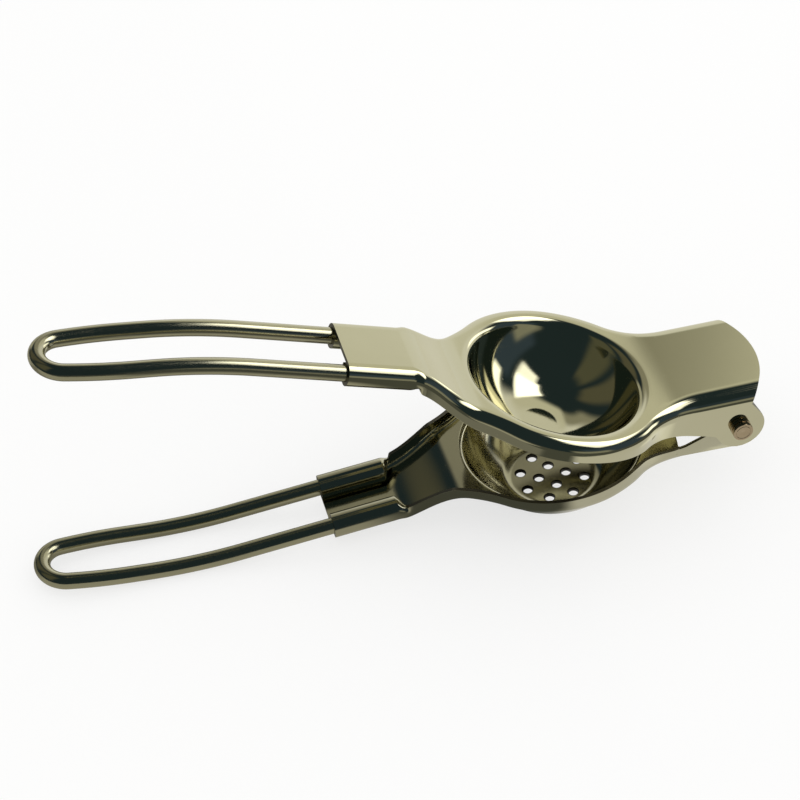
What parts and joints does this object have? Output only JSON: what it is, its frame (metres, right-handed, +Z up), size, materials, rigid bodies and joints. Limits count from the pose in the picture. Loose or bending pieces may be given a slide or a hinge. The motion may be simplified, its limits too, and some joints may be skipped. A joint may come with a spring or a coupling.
{
  "type": "hinged lemon squeezer",
  "caption": "Hand-held hinged citrus squeezer of pressed steel, with a solid pressing bowl over a pierced strainer bowl and bent-wire loop handles.",
  "frame": {"origin": "centre of the bounding box's bottom, on the surface the squeezer lies on", "axes": "+X from the handles towards the hinge, +Y across along the hinge pin, +Z up; stored lying on the strainer bowl's edge and the lower handle, jaws part open"},
  "size_m": [0.226, 0.068, 0.0877],
  "materials": {
    "pressed_sheet": "mirror-polished stainless sheet with fine polishing lines",
    "wire": "polished stainless wire",
    "pin": "plain turned steel"
  },
  "bodies": {
    "lower": {"lower_jaw": "pressed_sheet", "lower_handle": "wire", "hinge_pin": "pin"},
    "upper": {"upper_jaw": "pressed_sheet", "upper_handle": "wire"}
  },
  "joints": [
    {"name": "jaw_hinge", "type": "hinge", "parent": "lower", "child": "upper", "pos_m": [0.10277, 0, 0.0255], "axis": [0, 1, 0], "range_deg": [-19.3, 159.7]}
  ]
}
